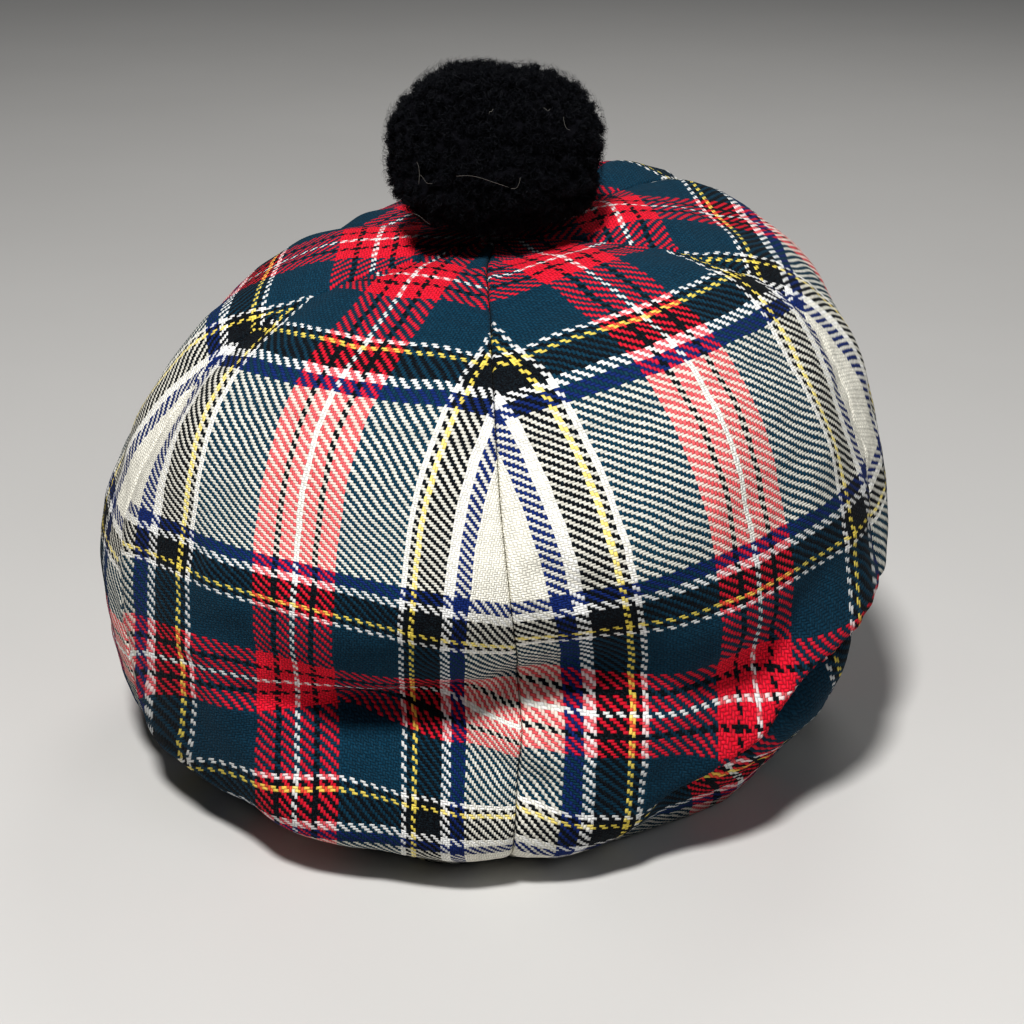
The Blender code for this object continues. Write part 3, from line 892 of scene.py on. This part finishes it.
def make_pompom(material, hair, pale):
    """Dense ball of cut yarn: a lumpy core, a tuft of splayed fibres for each yarn
    end, a haze of loose fuzz and a few pale stray hairs."""
    low, high = (np.array(corner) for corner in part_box("pompom"))
    middle = 0.5 * (low + high) + np.array((-0.0010, 0.0, -0.0006))
    half = 0.5 * (high - low) - 0.0011
    local = np.random.default_rng(31)

    def surface(d, sink):
        """Place on the ball, a rounded box that is widest low, sunk by so much."""
        swell = 1.0 - 0.045 * d[..., 2:3] * np.abs(d[..., 2:3]) - 0.02 * d[..., 2:3]
        size = (half - np.reshape(sink, (-1,) + (1,) * (d.ndim - 1))) * np.concatenate(
            [swell, swell, np.ones_like(swell)], -1)
        reach = np.sum(np.abs(d / size) ** 2.6, -1, keepdims=True) ** (-1.0 / 2.6)
        lobes = 0.0010 * waves(unit(d) * BALL_RADIUS, 0.030, 24, 40)[..., None]
        return middle + d * (reach + lobes)

    tufts = 1100
    ends = even_directions(tufts, 0.030, 8)
    size = local.uniform(0.0015, 0.0024, tufts)
    sunk = local.uniform(0.0, 0.0021, tufts)
    # Core: a bump under every tuft.
    bm = bmesh.new()
    bmesh.ops.create_icosphere(bm, subdivisions=7, radius=1.0)
    dirs = unit(np.array([v.co[:] for v in bm.verts]))
    tree = KDTree(tufts)
    for i, d in enumerate(ends):
        tree.insert(d, i)
    tree.balance()
    near = [tree.find(d)[1:] for d in dirs]
    index = np.array([row[0] for row in near])
    gap = np.array([row[1] for row in near]) * BALL_RADIUS
    bump = 0.0018 * np.exp(-(gap / 0.0017) ** 2) - sunk[index]
    fine = 0.00025 * waves(dirs * BALL_RADIUS, 0.0022, 30, 21)
    for vert, spot in zip(bm.verts, surface(dirs, 0.0034 - bump - fine)):
        vert.co = spot
    mesh = bpy.data.meshes.new("pompom_yarn_ball")
    bm.to_mesh(mesh)
    bm.free()
    mesh.materials.append(material)
    mesh.shade_smooth()
    ball = bpy.data.objects.new("pompom_yarn_ball", mesh)
    bpy.context.scene.collection.objects.link(ball)
    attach(ball, "root")
    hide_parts("pompom")

    # Fibres of each yarn end, splayed and curled over it.
    per = 30
    for part in range(2):
        d = np.repeat(ends, per, 0)
        spread = np.repeat(size, per) * local.uniform(0.2, 1.25, tufts * per)
        way = local.normal(0.0, 1.0, d.shape)
        way = unit(way - d * np.sum(way * d, 1, keepdims=True))
        root = surface(d, np.repeat(sunk, per) + 0.0030)
        round_off = 0.0012 * (spread / np.repeat(size, per)) ** 2
        tip = surface(d, np.repeat(sunk, per) + round_off - local.uniform(-0.0006, 0.0005, len(d)))
        tip = tip + way * spread[:, None]
        twist = np.cross(d, way)
        bend = local.normal(0.0, 0.0007, (len(d), 1))
        t = np.linspace(0.0, 1.0, 4)[None, :, None]
        lift = d[:, None] * 0.0010 * (4.0 * t * (1.0 - t))
        paths = root[:, None] * (1.0 - t) + tip[:, None] * t + lift
        paths = paths + way[:, None] * (spread[:, None, None] * 0.55 * np.sin(math.pi * t))
        paths = paths + (twist * bend)[:, None] * np.sin(math.pi * 1.5 * t)
        fibres = strands("pompom_tufts_%d" % (part + 1), paths, local.uniform(0.00016, 0.00034, len(d)), hair)
        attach(fibres, "root")

    count = 8000
    d = even_directions(count, 0.06, 9)
    way = local.normal(0.0, 1.0, d.shape)
    way = unit(way - d * np.sum(way * d, 1, keepdims=True))
    reach = local.uniform(0.0010, 0.0030, (count, 1, 1))
    curl = local.uniform(0.4, 1.6, (count, 1, 1))
    t = np.linspace(0.0, 1.0, 5)[None, :, None]
    paths = surface(d, 0.0008)[:, None] + d[:, None] * reach * (t - 0.5 * curl * t * t)
    paths = paths + way[:, None] * reach * curl * t * t
    fuzz = strands("pompom_fuzz", paths, np.full(count, 0.00009), hair)
    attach(fuzz, "root")

    # Pale hairs caught in the front: start and end across and up, in shares of the
    # half width, and how far each bows.
    verts, faces = [], []
    for x0, z0, x1, z1, bow in PALE_HAIRS:
        path = []
        for k in range(12):
            t = k / 11.0
            x = x0 + (x1 - x0) * t - (z1 - z0) * bow * math.sin(math.pi * t)
            z = z0 + (z1 - z0) * t + (x1 - x0) * bow * math.sin(math.pi * t) + 0.008 * math.sin(7.0 * t)
            d = unit(np.array((x, -math.sqrt(max(0.05, 1.0 - x * x - z * z)), z)))
            path.append(surface(d[None], -0.0004)[0])
        tube(path, 0.00007, 3, verts, faces)
    stray = mesh_object("pompom_stray_hairs", verts, faces, pale)
    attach(stray, "root")


def make_stitches(material):
    """Two rows of running stitches round the outside of the headband."""
    verts, faces = [], []
    count = 150
    for height in (0.0055, 0.0225):
        for k in range(count):
            path = []
            for step in range(5):
                t = step / 4.0
                turn = 2.0 * math.pi * (k + 0.62 * t) / count
                r = HEAD_RADIUS - 0.00005 - 0.00030 * math.sin(math.pi * t)
                path.append((PLACE[0] + r * math.sin(turn), PLACE[1] - r * math.cos(turn), height))
            tube(path, 0.00022, 5, verts, faces)
    obj = mesh_object("headband_stitches", verts, faces, material)
    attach(obj, "root")
    return obj


VIEW = make_camera()
wool = tartan_material()
gores = [make_gore(number, wool) for number in range(GORES)]
make_band(band_material())
make_stitches(hair_material("headband_thread", (0.020, 0.020, 0.024, 1.0), 0.3))
make_pompom(yarn_material(), hair_material("black_hair", (0.0034, 0.0042, 0.0072, 1.0), 0.18),
            hair_material("pale_hair", (0.20, 0.19, 0.17, 1.0), 0.4))

# Floor and light.
bpy.ops.mesh.primitive_plane_add(size=6.0, location=(0.0, 0.0, -0.0003))
floor = bpy.context.object
floor.name = "floor"
paper = Nodes("pale_floor")
spot = paper.add("ShaderNodeTexCoord").outputs["Object"]
paper.put(paper.shader.inputs["Base Color"],
          paper.mix(paper.noise(spot, 6.0, 3.0), (0.50, 0.495, 0.485, 1.0), (0.53, 0.525, 0.515, 1.0)))
paper.shader.inputs["Roughness"].default_value = 0.9
floor.data.materials.append(paper.material)

bpy.context.scene.view_settings.view_transform = "Standard"
bpy.context.scene.view_settings.look = "Medium High Contrast"
world = bpy.data.worlds.new("studio")
bpy.context.scene.world = world
world.use_nodes = True
world.node_tree.nodes["Background"].inputs[0].default_value = AMBIENT_COLOUR
world.node_tree.nodes["Background"].inputs[1].default_value = AMBIENT


def area_light(name, place, target, size, power, colour):
    """Round soft light aimed at the target."""
    data = bpy.data.lights.new(name, "AREA")
    data.shape = "DISK"
    data.size = size
    data.energy = power
    data.color = colour
    lamp = bpy.data.objects.new(name, data)
    bpy.context.scene.collection.objects.link(lamp)
    lamp.location = place
    way = Vector(target) - Vector(place)
    lamp.rotation_euler = way.to_track_quat("-Z", "Y").to_euler()


for row in LIGHTS:
    area_light(*row)
